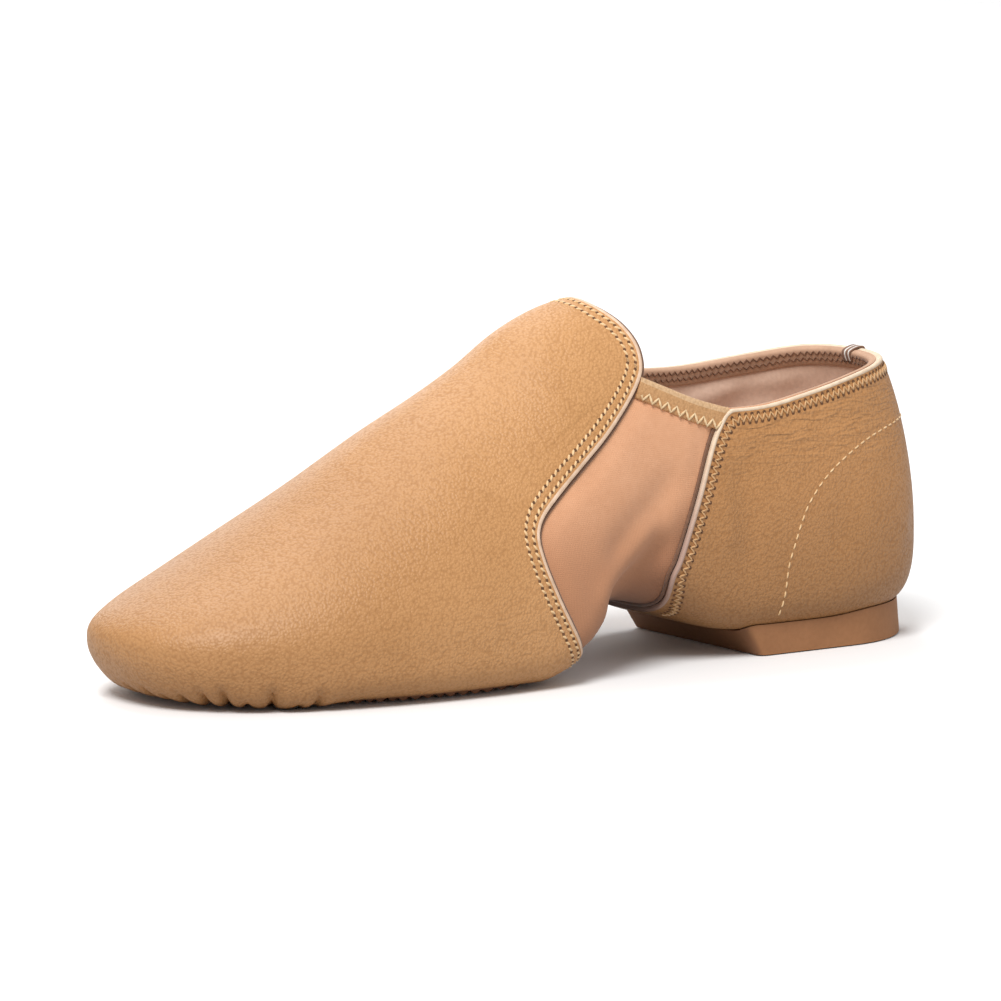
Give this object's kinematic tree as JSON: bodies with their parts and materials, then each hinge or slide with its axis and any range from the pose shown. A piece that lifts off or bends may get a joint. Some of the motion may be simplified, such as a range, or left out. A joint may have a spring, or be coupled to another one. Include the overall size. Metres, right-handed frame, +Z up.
{
  "type": "jazz shoe",
  "caption": "Slip-on split-sole jazz shoe for the left foot: soft leather vamp and quarter over a stretch sock, with a thin rubber patch and a low heel.",
  "frame": {"origin": "on the floor, under the middle of the shoe's bounding box", "axes": "+X from the heel to the toe, +Y towards the little toe, +Z up"},
  "size_m": [0.245, 0.0888, 0.0963],
  "materials": {
    "leather": "soft tan leather with a fine pebbled grain, satin",
    "stretch_cloth": "matt pinkish-tan stretch cloth over foam, with a smooth knitted lining inside",
    "binding": "pale folded tape, matt",
    "insole_cloth": "beige brushed cloth over thin foam",
    "sole_rubber": "brown moulded rubber with a pyramid tread, matt"
  },
  "bodies": {
    "root": {"upper": "stretch_cloth", "vamp": "leather", "quarter": "leather", "quarter_binding": "binding", "collar_band_outer": "leather", "collar_band_inner": "leather", "insole": "insole_cloth", "outsole": "sole_rubber", "heel": "sole_rubber"}
  },
  "joints": []
}
